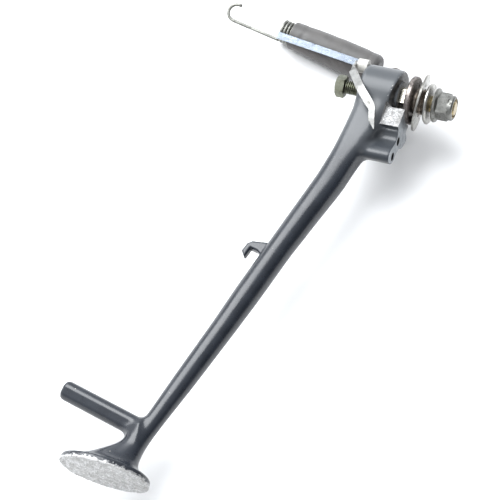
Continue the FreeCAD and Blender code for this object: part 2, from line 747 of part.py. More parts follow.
doc.recompute()
for item in doc.Objects:
    if "Invalid" in item.State or "Error" in item.State:
        raise RuntimeError("%s is %s" % (item.Name, item.State))
os.makedirs("parts", exist_ok=True)
for item in finished:
    if item.Shape.isNull() or not item.Shape.isValid():
        raise RuntimeError(item.Label + " has no valid shape")
    item.Shape.exportStep("parts/" + item.Label + ".step")
    print(item.Label, len(item.Shape.Solids), round(item.Shape.Volume, 1))
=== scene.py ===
"""Looks of a motorcycle side stand that lies on a pale bench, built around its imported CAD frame."""
import json
import math

import bmesh
import bpy
import numpy as np
import openvdb
from mathutils import Matrix, Vector, noise


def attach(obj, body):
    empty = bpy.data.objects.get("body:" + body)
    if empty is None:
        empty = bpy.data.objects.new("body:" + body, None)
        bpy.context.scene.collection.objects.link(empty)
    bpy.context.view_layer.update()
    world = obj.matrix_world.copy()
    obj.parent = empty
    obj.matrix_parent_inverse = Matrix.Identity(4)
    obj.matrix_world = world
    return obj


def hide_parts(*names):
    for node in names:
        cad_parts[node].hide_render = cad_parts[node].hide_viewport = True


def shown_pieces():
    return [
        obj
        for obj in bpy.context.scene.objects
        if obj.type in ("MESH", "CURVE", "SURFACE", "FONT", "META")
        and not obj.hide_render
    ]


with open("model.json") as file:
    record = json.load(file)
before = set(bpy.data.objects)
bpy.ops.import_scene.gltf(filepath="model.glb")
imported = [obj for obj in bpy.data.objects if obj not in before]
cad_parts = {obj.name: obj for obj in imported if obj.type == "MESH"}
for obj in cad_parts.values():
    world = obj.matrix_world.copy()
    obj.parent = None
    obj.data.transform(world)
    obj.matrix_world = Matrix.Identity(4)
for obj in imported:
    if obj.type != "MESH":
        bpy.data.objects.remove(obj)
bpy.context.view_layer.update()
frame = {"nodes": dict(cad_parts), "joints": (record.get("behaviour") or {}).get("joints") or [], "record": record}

MM = 0.001
X_AXIS = Vector((1, 0, 0))
Y_AXIS = Vector((0, 1, 0))
Z_AXIS = Vector((0, 0, 1))

# ---------------------------------------------------------------- places taken from the frame

mounts = {mount["name"]: mount for mount in frame["record"]["mounts"]}
joints = {joint["name"]: joint for joint in frame["joints"]}

BOSS_LENGTH = 28.0
BOSS_RADIUS = 19.3
BUSH_RADIUS = 9.5
RING_RADIUS = 12.3
FALL_START = 17.0
FALL_RATE = 0.0052
SEAL_RADIUS = 11.6
SEAL_WIDE = 2.0
LEG_START = -7.7
LEG_LEAN = 14.6
PEG_REACH = 308.2
PEG_TIP = 68.0
PEG_RADIUS = 7.0
PEG_LEAN = 0.41
PEG_RISE = 0.91
CATCH_REACH = 144.8
CATCH_THICK = 6.4
SOLE_LONG = 30.7
SOLE_WIDE = 21.3
STOP_TOP = 9.4
STOP_START = -5.6
STOP_NEAR = -14.6
STOP_FAR = -30.0
LUG_SEAT = 6.2
WASHER_RELIEF = 17.6
SWITCH_FACE = mounts["switch_holes"]["pos_m"][0] / MM
SWITCH_Y = mounts["switch_holes"]["pos_m"][1] / MM
SWITCH_Z = mounts["switch_holes"]["pos_m"][2] / MM
SWITCH_PITCH = mounts["switch_holes"]["dims"]["spacing_x_mm"]
SWITCH_HOLE = mounts["switch_holes"]["dims"]["hole_r_mm"]
POST_CENTRE = Vector((0, 14.1, 9.3))
POST_STACK = 7.4
STRAP_WIDE = 6.4
STRAP_THICK = 1.8

sole_centre = Vector(mounts["sole"]["pos_m"]) / MM
sole_normal = Vector(mounts["sole"]["axis"])
sole_turn = Matrix.Rotation(math.radians(4.0), 3, "X") @ Matrix.Rotation(math.radians(14.8), 3, "Y")
sole_long = sole_turn @ X_AXIS
sole_wide = sole_turn @ Z_AXIS

leg_place = Matrix.Translation((LEG_START, 0, 0)) @ Matrix.Rotation(math.radians(-LEG_LEAN), 4, "Z")

anchor_point = Vector(joints["spring_swing"]["pos_m"]) / MM
anchor_axis = Vector(joints["spring_swing"]["axis"])
spring_start = Vector((-29.0, 29.5, -17.9))
spring_axis = Vector((-0.979, 0.162, 0.120)).normalized()
hook_side = Vector((-0.198, -0.884, -0.423))
hook_side = (hook_side - spring_axis * hook_side.dot(spring_axis)).normalized()
stay_side = spring_axis.cross(hook_side).normalized()
BOOT_LENGTH = 69.0
BOOT_RADIUS = 12.2
BOOT_BORE = 9.0
COIL_RADIUS = 7.4
COIL_PITCH = 2.4
COIL_TURNS = 30
COIL_START = 6.0
WIRE_RADIUS = 1.15
EYE_RADIUS = 5.25
HOOK_RUN = 36.6
HOOK_RADIUS = 6.0
STAY_WIDE = 5.2
STAY_THICK = 1.6
STAY_START = 10.0
STAY_END = 75.7


def on_spring(along, hookward=0.0, stayward=0.0):
    """Point given along the spring, towards its hook's offset side and towards the stay."""
    return spring_start + spring_axis * along + hook_side * hookward + stay_side * stayward


# ---------------------------------------------------------------- material kit

class Nodes:
    """Short ways to wire a material's shader nodes."""

    def __init__(self, name):
        self.material = bpy.data.materials.new(name)
        self.material.use_nodes = True
        self.tree = self.material.node_tree
        self.tree.nodes.clear()
        self.output = self.tree.nodes.new("ShaderNodeOutputMaterial")
        self.shader = self.tree.nodes.new("ShaderNodeBsdfPrincipled")
        self.link(self.shader.outputs[0], self.output.inputs[0])
        self.place = self.tree.nodes.new("ShaderNodeTexCoord").outputs["Object"]

    def link(self, source, target):
        self.tree.links.new(source, target)

    def feed(self, target, source):
        if isinstance(source, bpy.types.NodeSocket):
            self.link(source, target)
        else:
            target.default_value = source

    def noise(self, size_mm, detail=3.0, rough=0.55, stretch=None, distort=0.0):
        """Noise value between 0 and 1 whose lumps are about size_mm across."""
        source = self.place
        if stretch:
            mapping = self.tree.nodes.new("ShaderNodeMapping")
            mapping.inputs["Scale"].default_value = stretch
            self.link(self.place, mapping.inputs["Vector"])
            source = mapping.outputs[0]
        node = self.tree.nodes.new("ShaderNodeTexNoise")
        node.inputs["Scale"].default_value = 1 / (size_mm * MM)
        node.inputs["Detail"].default_value = detail
        node.inputs["Roughness"].default_value = rough
        node.inputs["Distortion"].default_value = distort
        self.link(source, node.inputs["Vector"])
        return node.outputs["Fac"]

    def cells(self, size_mm):
        """Distance to the nearest of scattered points about size_mm apart."""
        node = self.tree.nodes.new("ShaderNodeTexVoronoi")
        node.inputs["Scale"].default_value = 1 / (size_mm * MM)
        self.link(self.place, node.inputs["Vector"])
        return node.outputs["Distance"]

    def attribute(self, name):
        node = self.tree.nodes.new("ShaderNodeAttribute")
        node.attribute_name = name
        return node.outputs["Fac"]

    def axis(self, name):
        node = self.tree.nodes.new("ShaderNodeSeparateXYZ")
        self.link(self.place, node.inputs[0])
        return node.outputs[name]

    def facing(self, direction):
        """How far the surface faces a direction, from -1 to 1."""
        node = self.tree.nodes.new("ShaderNodeVectorMath")
        node.operation = "DOT_PRODUCT"
        node.inputs[1].default_value = direction
        self.link(self.tree.nodes.new("ShaderNodeNewGeometry").outputs["Normal"], node.inputs[0])
        return node.outputs["Value"]

    def math(self, operation, first, second=0.0, clamp=False):
        node = self.tree.nodes.new("ShaderNodeMath")
        node.operation = operation
        node.use_clamp = clamp
        self.feed(node.inputs[0], first)
        self.feed(node.inputs[1], second)
        return node.outputs[0]

    def span(self, value, low, high, to_low=0.0, to_high=1.0):
        """Maps a value from low..high to to_low..to_high, clamped and smooth."""
        node = self.tree.nodes.new("ShaderNodeMapRange")
        node.interpolation_type = "SMOOTHSTEP"
        node.inputs["From Min"].default_value = low
        node.inputs["From Max"].default_value = high
        node.inputs["To Min"].default_value = to_low
        node.inputs["To Max"].default_value = to_high
        self.link(value, node.inputs["Value"])
        return node.outputs[0]

    def mix(self, share, first, second):
        """Colour between first and second."""
        node = self.tree.nodes.new("ShaderNodeMix")
        node.data_type = "RGBA"
        self.feed(node.inputs[0], share)
        self.feed(node.inputs[6], first)
        self.feed(node.inputs[7], second)
        return node.outputs[2]

    def blend(self, share, first, second):
        """Number between first and second."""
        node = self.tree.nodes.new("ShaderNodeMix")
        node.data_type = "FLOAT"
        self.feed(node.inputs[0], share)
        self.feed(node.inputs[2], first)
        self.feed(node.inputs[3], second)
        return node.outputs[0]

    def bump(self, height, depth_mm, base=None):
        node = self.tree.nodes.new("ShaderNodeBump")
        node.inputs["Distance"].default_value = depth_mm * MM
        self.link(height, node.inputs["Height"])
        if base:
            self.link(base, node.inputs["Normal"])
        return node.outputs[0]

    def finish(self, colour, roughness, metallic=0.0, normal=None, coat=0.0, coat_rough=0.1):
        self.feed(self.shader.inputs["Base Color"], colour)
        self.feed(self.shader.inputs["Roughness"], roughness)
        self.feed(self.shader.inputs["Metallic"], metallic)
        self.feed(self.shader.inputs["Coat Weight"], coat)
        self.feed(self.shader.inputs["Coat Roughness"], coat_rough)
        if normal:
            self.link(normal, self.shader.inputs["Normal"])
        return self.material


def grey(level, alpha=1.0):
    return (level, level, level, alpha)


def worn_metal(name, light, dark, rough, grime, grime_share, streak=None, depth=0.04):
    """Metal with cloudy tone, fine streaks and grime that gathers in patches."""
    kit = Nodes(name)
    cloud = kit.noise(5.0, 4.0, 0.6)
    fine = kit.noise(0.9, 3.0, 0.6, stretch=streak)
    dirt = kit.span(kit.noise(3.2, 5.0, 0.65, distort=0.6),
                    0.66 - grime_share * 0.35, 0.8 - grime_share * 0.25)
    tone = kit.mix(kit.span(cloud, 0.3, 0.7), light, dark)
    tone = kit.mix(kit.span(fine, 0.35, 0.75, 0.0, 0.35), tone, dark)
    tone = kit.mix(dirt, tone, grime)
    roughness = kit.blend(dirt, kit.span(fine, 0.2, 0.8, rough - 0.08, rough + 0.1), 0.7)
    metallic = kit.blend(dirt, 1.0, 0.35)
    normal = kit.bump(fine, depth, kit.bump(cloud, depth * 2))
    return kit.finish(tone, roughness, metallic, normal)


def black_paint():
    """Semi-gloss black paint, rougher towards the head where its colour is also lifted to grey as a painted
    reflection, with specks, scratches and worn edges.
    """
    kit = Nodes("black_paint")
    cloud = kit.noise(14.0, 4.0, 0.6)
    orange_peel = kit.noise(1.6, 2.0, 0.5)
    dust = kit.span(kit.noise(0.5, 2.0, 0.7), 0.62, 0.8)
    speck = kit.span(kit.cells(7.0), 0.035, 0.06, 1.0, 0.0)
    speck = kit.math("MULTIPLY", speck, kit.span(kit.noise(9.0, 2.0), 0.52, 0.6))
    scratch = kit.noise(2.6, 5.0, 0.7, stretch=(1.0, 0.12, 1.0), distort=1.2)
    scratch = kit.span(scratch, 0.70, 0.74)
    # Towards the head the paint turns duller: a real dulling in the roughness, and a painted reflection of the
    # light above in the colour lifted to grey.
    dull_and_sheen = kit.span(kit.axis("Y"), -0.075, -0.02)
    wear = kit.attribute("wear")
    jitter = kit.math("SUBTRACT", kit.noise(1.7, 5.0, 0.7), 0.5)
    ragged = kit.math("ADD", wear, kit.math("MULTIPLY", jitter, 1.5))
    bare = kit.span(ragged, 0.50, 0.58)
    tone = kit.mix(kit.span(cloud, 0.3, 0.7), (0.003, 0.006, 0.012, 1), (0.007, 0.011, 0.019, 1))
    tone = kit.mix(kit.math("MULTIPLY", dust, 0.22), tone, grey(0.12))
    tone = kit.mix(kit.math("MULTIPLY", dull_and_sheen, 0.8), tone, (0.070, 0.077, 0.084, 1))
    tone = kit.mix(kit.math("MULTIPLY", scratch, 0.3), tone, grey(0.25))
    tone = kit.mix(speck, tone, (0.42, 0.40, 0.36, 1))
    metal = kit.mix(kit.span(kit.noise(1.1, 4.0, 0.7), 0.35, 0.7), grey(0.52), grey(0.22))
    tone = kit.mix(bare, tone, metal)
    gloss = kit.span(cloud, 0.25, 0.75, 0.22, 0.32)
    rough = kit.blend(dull_and_sheen, gloss, 0.42)
    rough = kit.blend(bare, rough, 0.42)
    metallic = kit.math("MULTIPLY", bare, 0.9)
    edge = kit.bump(bare, -0.12, kit.bump(orange_peel, 0.03, kit.bump(cloud, 0.12)))
    coat = kit.math("MULTIPLY", kit.math("SUBTRACT", 1.0, bare), 0.3)
    kit.shader.inputs["Specular IOR Level"].default_value = 0.44
    return kit.finish(tone, rough, metallic, edge, coat, 0.22)


def bare_casting(name, light, dark):
    """Rough bare metal with pits, grain and dull grey patches."""
    kit = Nodes(name)
    grain = kit.noise(0.9, 6.0, 0.75)
    patch = kit.noise(4.5, 4.0, 0.65, distort=0.8)
    pit = kit.span(kit.cells(1.5), 0.10, 0.30, 1.0, 0.0)
    tone = kit.mix(kit.span(patch, 0.35, 0.65), grey(light), (dark * 1.1, dark * 1.08, dark * 1.04, 1))
    tone = kit.mix(kit.span(grain, 0.42, 0.62, 0.75, 0.0), tone, grey(dark * 0.6))
    tone = kit.mix(kit.math("MULTIPLY", pit, 0.6), tone, grey(0.14))
    rough = kit.span(grain, 0.3, 0.7, 0.62, 0.42)
    normal = kit.bump(grain, 0.35, kit.bump(pit, -0.2, kit.bump(patch, 0.5)))
    return kit.finish(tone, rough, kit.span(patch, 0.3, 0.7, 0.75, 0.45), normal)


def machined_face():
    """Dull light-grey machined face with faint tool marks."""
    kit = Nodes("machined_face")
    cloud = kit.noise(4.0, 4.0, 0.6)
    marks = kit.noise(0.5, 3.0, 0.6, stretch=(1.0, 0.25, 1.0))
    stain = kit.span(kit.noise(2.6, 4.0, 0.7, distort=0.5), 0.58, 0.74)
    tone = kit.mix(kit.span(cloud, 0.3, 0.7), (0.40, 0.42, 0.44, 1), (0.24, 0.26, 0.28, 1))
    tone = kit.mix(stain, tone, (0.07, 0.07, 0.07, 1))
    return kit.finish(tone, kit.span(marks, 0.3, 0.7, 0.38, 0.55), 0.55, kit.bump(marks, 0.05))


def boss_end():
    """Dark greasy end face of the boss and its bores."""
    kit = Nodes("boss_end")
    cloud = kit.noise(3.5, 5.0, 0.65, distort=0.5)
    tone = kit.mix(kit.span(cloud, 0.35, 0.65), (0.030, 0.030, 0.031, 1), (0.095, 0.092, 0.088, 1))
    return kit.finish(tone, kit.span(cloud, 0.3, 0.7, 0.30, 0.55), 0.35, kit.bump(cloud, 0.15))


def pin_metal():
    """Ground bright steel on the journal, yellow plating on the threaded stud."""
    kit = Nodes("pin_metal")
    fine = kit.noise(0.8, 4.0, 0.6, stretch=(0.3, 1.0, 1.0))
    stud = kit.span(kit.axis("X"), 0.0100, 0.0115)
    stain = kit.span(kit.noise(2.2, 5.0, 0.7, distort=0.7), 0.52, 0.70)
    bright = kit.mix(kit.span(fine, 0.3, 0.7), (0.56, 0.54, 0.47, 1), (0.38, 0.36, 0.30, 1))
    yellow = kit.mix(kit.span(fine, 0.3, 0.7), (0.46, 0.38, 0.22, 1), (0.24, 0.19, 0.11, 1))
    tone = kit.mix(stud, bright, yellow)
    tone = kit.mix(kit.math("MULTIPLY", stain, 0.75), tone, (0.16, 0.12, 0.08, 1))
    rough = kit.blend(stain, kit.span(fine, 0.3, 0.7, 0.20, 0.34), 0.6)
    return kit.finish(tone, rough, 1.0, kit.bump(fine, 0.03))


def rubber(name="boot_rubber"):
    """Matt black rubber with fine grey grain and scuffs; its upward faces are lifted to grey as a painted sheen of
    the light from above.
    """
    kit = Nodes(name)
    grain = kit.noise(0.55, 4.0, 0.7)
    cloud = kit.noise(9.0, 4.0, 0.6, distort=0.4)
    scuff = kit.span(kit.noise(3.0, 5.0, 0.7, stretch=(0.35, 1.0, 1.0), distort=0.8), 0.60, 0.74)
    tone = kit.mix(kit.span(cloud, 0.3, 0.7), (0.030, 0.026, 0.024, 1), (0.062, 0.054, 0.050, 1))
    # The upper faces are lightened towards grey as a painted sheen of the light from above, not a colour of the
    # rubber.
    painted_top_sheen = kit.span(kit.facing((-0.10, 0.55, 0.83)), -0.1, 0.55)
    tone = kit.mix(kit.math("MULTIPLY", painted_top_sheen, 0.4), tone, (0.13, 0.13, 0.128, 1))
    tone = kit.mix(kit.math("MULTIPLY", scuff, 0.4), tone, (0.20, 0.195, 0.19, 1))
    tone = kit.mix(kit.span(grain, 0.5, 0.75, 0.0, 0.35), tone, (0.13, 0.125, 0.12, 1))
    material = kit.finish(tone, kit.span(cloud, 0.3, 0.7, 0.40, 0.56), 0.0,
                          kit.bump(grain, 0.10, kit.bump(cloud, 0.4)))
    kit.shader.inputs["Sheen Weight"].default_value = 0.15
    return material


def off_white():
    """Aged off-white moulding with grey smears."""
    kit = Nodes("off_white")
    cloud = kit.noise(3.0, 5.0, 0.65, distort=0.5)
    smear = kit.span(kit.noise(2.0, 5.0, 0.7, stretch=(1.0, 0.4, 1.0)), 0.56, 0.74)
    tone = kit.mix(kit.span(cloud, 0.3, 0.7), (0.60, 0.59, 0.55, 1), (0.44, 0.43, 0.40, 1))
    tone = kit.mix(kit.math("MULTIPLY", smear, 0.7), tone, (0.17, 0.16, 0.15, 1))
    return kit.finish(tone, 0.42, 0.0, kit.bump(cloud, 0.12))


MATERIALS = {
    "black_paint": black_paint(),
    "bare_casting": bare_casting("bare_casting", 0.86, 0.44),
    "stop_face": bare_casting("stop_face", 0.72, 0.30),
    "machined_face": machined_face(),
    "boss_end": boss_end(),
    "pin_metal": pin_metal(),
    "dark_steel": worn_metal("dark_steel", (0.30, 0.27, 0.25, 1), (0.12, 0.105, 0.10, 1), 0.34,
                             (0.035, 0.03, 0.027, 1), 0.45),
    "spacer_steel": worn_metal("spacer_steel", (0.46, 0.41, 0.35, 1), (0.20, 0.16, 0.13, 1), 0.30,
                               (0.05, 0.04, 0.033, 1), 0.5),
    "washer_zinc": worn_metal("washer_zinc", (0.46, 0.455, 0.43, 1), (0.27, 0.26, 0.24, 1), 0.30,
                              (0.10, 0.09, 0.08, 1), 0.35),
    "strap_zinc": worn_metal("strap_zinc", (0.38, 0.38, 0.37, 1), (0.26, 0.26, 0.25, 1), 0.40,
                             (0.22, 0.21, 0.19, 1), 0.30),
    "stay_zinc": worn_metal("stay_zinc", (0.32, 0.36, 0.41, 1), (0.22, 0.25, 0.30, 1), 0.30,
                            (0.22, 0.23, 0.25, 1), 0.10, streak=(0.2, 1.0, 1.0)),
    "nut_zinc": worn_metal("nut_zinc", (0.27, 0.27, 0.255, 1), (0.14, 0.14, 0.13, 1), 0.34,
                           (0.07, 0.065, 0.06, 1), 0.35),
    "olive_zinc": worn_metal("olive_zinc", (0.20, 0.205, 0.165, 1), (0.12, 0.125, 0.09, 1), 0.34,
                             (0.10, 0.10, 0.06, 1), 0.30),
    "spring_steel": worn_metal("spring_steel", (0.30, 0.30, 0.275, 1), (0.15, 0.15, 0.135, 1), 0.32,
                               (0.04, 0.04, 0.042, 1), 0.30),
    "bronze": worn_metal("bronze", (0.50, 0.36, 0.18, 1), (0.30, 0.21, 0.11, 1), 0.38,
                         (0.07, 0.05, 0.035, 1), 0.35),
    "boot_rubber": rubber(),
    "seal_rubber": rubber("seal_rubber"),
    "off_white": off_white(),
    "ring_nylon": worn_metal("ring_nylon", (0.52, 0.40, 0.20, 1), (0.30, 0.22, 0.12, 1), 0.40,
                             (0.06, 0.05, 0.04, 1), 0.40),
}


def dress(thing, *names):
    """Gives a mesh object these materials, in slot order."""
    thing.data.materials.clear()
    for name in names:
        thing.data.materials.append(MATERIALS[name])


# ---------------------------------------------------------------- mesh kit

def add_mesh(name, points, faces, smooth=True):
    """Object from points in millimetres and faces, smooth-shaded."""
    mesh = bpy.data.meshes.new(name)
    mesh.from_pydata([Vector(point) * MM for point in points], [], faces)
    mesh.validate()
    mesh.polygons.foreach_set("use_smooth", [smooth] * len(mesh.polygons))
    thing = bpy.data.objects.new(name, mesh)
    bpy.context.scene.collection.objects.link(thing)
    return thing


def tidy_normals(thing):
    """Welds doubles and turns every face outwards."""
    work = bmesh.new()
    work.from_mesh(thing.data)
    bmesh.ops.remove_doubles(work, verts=work.verts, dist=1e-6)
    bmesh.ops.recalc_face_normals(work, faces=work.faces)
    work.to_mesh(thing.data)
    work.free()


def apply_modifiers(thing):
    """Bakes an object's modifiers into its own mesh."""
    graph = bpy.context.evaluated_depsgraph_get()
    graph.update()
    mesh = bpy.data.meshes.new_from_object(thing.evaluated_get(graph))
    old = thing.data
    thing.modifiers.clear()
    thing.data = mesh
    bpy.data.meshes.remove(old)


def smooth_by_angle(thing, degrees=32.0):
    """Smooth shading with sharp edges kept where faces meet at more than the angle."""
    work = bmesh.new()
    work.from_mesh(thing.data)
    limit = math.radians(degrees)
    for edge in work.edges:
        flat = len(edge.link_faces) != 2 or edge.calc_face_angle(0.0) > limit
        edge.smooth = not flat
    for face in work.faces:
        face.smooth = True
    work.to_mesh(thing.data)
    work.free()


def cut_away(thing, cutter):
    """Subtracts a cutter, whose material is left on the cut faces, and removes it."""
    change = thing.modifiers.new("cut", "BOOLEAN")
    change.operation = "DIFFERENCE"
    change.solver = "EXACT"
    change.object = cutter
    change.material_mode = "TRANSFER"
    bpy.context.view_layer.update()
    apply_modifiers(thing)
    bpy.data.objects.remove(cutter)


def tube_faces(rings, sides, looped=False):
    """Faces between rings of points, either closed with two flat ends or looped back to the first."""
    faces = []
    for ring in range(rings if looped else rings - 1):
        base, top = ring * sides, (ring + 1) % rings * sides
        for side in range(sides):
            after = (side + 1) % sides
            faces.append((base + side, base + after, top + after, top + side))
    if not looped:
        faces.append(tuple(range(sides)))
        faces.append(tuple((rings - 1) * sides + side for side in reversed(range(sides))))
    return faces


def turned_form(name, stations, place, sides=96, material=None):
    """Closed form turned about its local X axis from (x, radius) stations, in millimetres."""
    points = []
    for x, radius in stations:
        for side in range(sides):
            angle = 2 * math.pi * side / sides
            points.append(place @ Vector((x, radius * math.cos(angle), radius * math.sin(angle))))
    form = add_mesh(name, points, tube_faces(len(stations), sides))
    tidy_normals(form)
    if material:
        dress(form, material)
    return form


def block_form(name, low, high, place, material):
    """Box between two local corners, in millimetres."""
    spans = tuple(zip(low, high))
    corners = [place @ Vector((x, y, z)) for x in spans[0] for y in spans[1] for z in spans[2]]
    faces = [(0, 1, 3, 2), (4, 6, 7, 5), (0, 4, 5, 1), (2, 3, 7, 6), (0, 2, 6, 4), (1, 5, 7, 3)]
    form = add_mesh(name, corners, faces, smooth=False)
    tidy_normals(form)
    dress(form, material)
    return form


def wire_form(name, points, radius, sides=12):
    """Round wire along points in millimetres, with closed rounded ends."""
    curve = bpy.data.curves.new(name, "CURVE")
    curve.dimensions = "3D"
    curve.bevel_depth = radius * MM
    curve.bevel_resolution = sides // 4
    curve.use_fill_caps = True
    spline = curve.splines.new("POLY")
    spline.points.add(len(points) - 1)
    for slot, point in zip(spline.points, points):
        slot.co = (*(Vector(point) * MM), 1)
    holder = bpy.data.objects.new(name + "_curve", curve)
    bpy.context.scene.collection.objects.link(holder)
    graph = bpy.context.evaluated_depsgraph_get()
    mesh = bpy.data.meshes.new_from_object(holder.evaluated_get(graph))
    bpy.data.objects.remove(holder)
    thing = bpy.data.objects.new(name, mesh)
    bpy.context.scene.collection.objects.link(thing)
    tidy_normals(thing)
    mesh.polygons.foreach_set("use_smooth", [True] * len(mesh.polygons))
    return thing


def rounded_path(points, rounds=4):
    """Open path with its corners cut round after round, ends kept."""
    path = [Vector(point) for point in points]
    for _ in range(rounds):
        softer = [path[0]]
        for start, end in zip(path, path[1:]):
            softer.append(start.lerp(end, 0.25))
            softer.append(start.lerp(end, 0.75))
        softer.append(path[-1])
        path = softer
    return path


def strip_form(name, stations, thick, edge=0.25):
    """Flat strip with eased edges through stations of (point, face direction, width)."""
    points = []
    half = thick / 2
    outline = ((-1, -half + edge, 0), (-1, half - edge, 0), (-1, half, edge), (1, half, -edge),
               (1, half - edge, 0), (1, -half + edge, 0), (1, -half, -edge), (-1, -half, edge))
    last = len(stations) - 1
    for index, (point, face, wide) in enumerate(stations):
        before = stations[max(index - 1, 0)][0]
        after = stations[min(index + 1, last)][0]
        along = (after - before).normalized()
        side = face.cross(along).normalized()
        normal = along.cross(side).normalized()
        for sign, lift, inset in outline:
            points.append(point + side * (sign * wide / 2 + inset) + normal * lift)
    strip = add_mesh(name, points, tube_faces(len(stations), len(outline)))
    tidy_normals(strip)
    return strip


def put_on(thing, body, slot_name, *replaced):
    """Finishes a piece: rides on its body and stands for CAD nodes; slot_name is not used."""
    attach(thing, body)
    if replaced:
        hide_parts(*replaced)


# ---------------------------------------------------------------- solid fields, in millimetres

def soft_min(first, second, reach):
    """Union of two fields with a fillet of about the reach."""
    share = np.maximum(reach - np.abs(first - second), 0.0) / reach
    return np.minimum(first, second) - share * share * reach * 0.25


def soft_max(first, second, reach):
    """Intersection of two fields with a rounding of about the reach."""
    return -soft_min(-first, -second, reach)


class Field:
    """Grid over a box in a local frame, with each point's row-frame coordinates."""

    def __init__(self, low, high, cell, place):
        counts = [int(math.ceil((top - base) / cell)) + 1 for base, top in zip(low, high)]
        axes = [base + np.arange(count) * cell for base, count in zip(low, counts)]
        self.low = low
        self.cell = cell
        self.place = place
        self.local = np.meshgrid(*axes, indexing="ij", sparse=True)
        turn = np.array(place.to_3x3())
        shift = np.array(place.translation)
        x, y, z = self.local
        self.row = [turn[axis, 0] * x + turn[axis, 1] * y + turn[axis, 2] * z + shift[axis]
                    for axis in range(3)]

    def about(self, centre, *directions):
        """Distances from a row-frame point along row-frame directions."""
        offset = [axis - middle for axis, middle in zip(self.row, centre)]
        return [sum(part * step for part, step in zip(offset, direction))
                for direction in directions]

    def surface(self, name, values):
        """Mesh object of the zero surface."""
        grid = openvdb.FloatGrid(5.0)
        grid.copyFromArray(values.astype(np.float32))
        grid.transform = openvdb.createLinearTransform(self.cell)
        points, triangles, quads = grid.convertToPolygons(isovalue=0.0, adaptivity=0.0)
        points = points + np.array(self.low)
        turn = np.array(self.place.to_3x3())
        points = points @ turn.T + np.array(self.place.translation)
        faces = [tuple(face) for face in triangles] + [tuple(face) for face in quads]
        thing = add_mesh(name, points, faces)
        tidy_normals(thing)
        return thing


# ---------------------------------------------------------------- leg

# Down the leg: shift across, half size across, half size upward and squareness of the section.
BAR_SECTIONS = (
    (0.0, -5.0, 14.2, 15.0, 3.2),
    (16.0, -3.6, 13.8, 14.2, 3.6),
    (34.0, -1.4, 12.6, 12.0, 3.6),
    (48.0, -1.2, 10.9, 10.4, 3.2),
    (61.0, -0.2, 10.2, 10.0, 2.8),
    (82.0, 1.1, 10.2, 10.1, 2.4),
    (112.0, 0.6, 9.7, 9.7, 2.15),
    (145.0, 0.2, 9.0, 9.1, 2.1),
    (185.0, 0.6, 9.0, 9.0, 2.1),
    (215.0, 1.0, 8.3, 8.3, 2.1),
    (262.0, 0.8, 7.5, 7.5, 2.1),
    (298.0, 0.5, 6.4, 6.4, 2.1),
    (314.0, 0.0, 6.6, 6.8, 2.1),
    (324.0, -1.0, 8.4, 8.0, 2.1),
    (333.0, -3.4, 13.4, 10.0, 2.1),
    (341.0, -4.8, 20.0, 12.5, 2.1),
    (348.0, -5.2, 25.5, 15.5, 2.1),
)


def bar_field(field):
    """The tapering bar."""
    x, y, z = field.local
    down = -y
    table = np.array(BAR_SECTIONS)
    line = down.ravel()
    steps = np.linspace(-6.0, 6.0, 13)
    columns = []
    for column in range(1, table.shape[1]):
        total = sum(np.interp(line + step, table[:, 0], table[:, column]) for step in steps)
        columns.append((total / len(steps)).reshape(down.shape))
    shift, across, upward, square = columns
    ratio = (np.abs((x - shift) / across) ** square + np.abs(z / upward) ** square) ** (1 / square)
    body = (ratio - 1) * np.minimum(across, upward)
    return np.maximum(body, np.maximum(-down - 2.0, down - 352.0))


def polygon_field(across, upward, corners):
    """Signed distance to a closed polygon, negative inside."""
    best = None
    inside = None
    count = len(corners)
    for index in range(count):
        ax, ay = corners[index]
        bx, by = corners[(index + 1) % count]
        ex, ey = bx - ax, by - ay
        px, py = across - ax, upward - ay
        share = np.clip((px * ex + py * ey) / (ex * ex + ey * ey), 0, 1)
        gap = (px - ex * share) ** 2 + (py - ey * share) ** 2
        best = gap if best is None else np.minimum(best, gap)
        crossing = (ay > upward) != (by > upward)
        slope = ex * (upward - ay) / (ey if abs(ey) > 1e-9 else 1e-9) + ax
        flip = crossing & (across < slope)
        inside = flip if inside is None else inside ^ flip
    distance = np.sqrt(best)
    return np.where(inside, -distance, distance)


# The switch lug seen along the pivot axis, as (y, z).
SWITCH_OUTLINE = (
    (-30.3, STOP_TOP - 1.6), (-33.1, 3.0), (-36.5, 1.8), (-40.1, 3.0), (-44.5, 5.2), (-48.0, 6.9),
    (-52.6, 7.1), (-55.5, 4.0), (-54.9, 0.9), (-52.0, -5.8), (-46.8, -8.4), (-40.4, -8.0),
    (-35.5, -9.9), (-31.7, -15.7), (-20.6, -20.5), (-19.5, -12.0))
# What the forging leaves on its faces for the machining cuts.
STOCK = 0.6


def eased(corners, rounds=2):
    """Closed outline with its corners cut round after round."""
    for _ in range(rounds):
        softer = []
        for (ax, ay), (bx, by) in zip(corners, corners[1:] + corners[:1]):
            softer.append((ax * 0.75 + bx * 0.25, ay * 0.75 + by * 0.25))
            softer.append((ax * 0.25 + bx * 0.75, ay * 0.25 + by * 0.75))
        corners = tuple(softer)
    return corners


def end_fall(x, y):
    """How far a point is inboard of the boss's end face, which falls back below FALL_START."""
    return x + FALL_RATE * np.maximum(FALL_START - y, 0.0) ** 2


def boss_field(x, y, z):
    """Round boss with eased ends; its inboard end falls back round a raised ring."""
    radius = np.sqrt(y ** 2 + z ** 2)
    body = soft_max(radius - BOSS_RADIUS, np.abs(x + BOSS_LENGTH / 2) - BOSS_LENGTH / 2, 3.2)
    fall = end_fall(x, y)
    body = soft_max(body, np.minimum(fall, radius - RING_RADIUS), 0.8)
    ring = np.maximum(radius - RING_RADIUS, np.abs(x + 8.0) - 8.0 - STOCK)
    return np.minimum(body, ring)


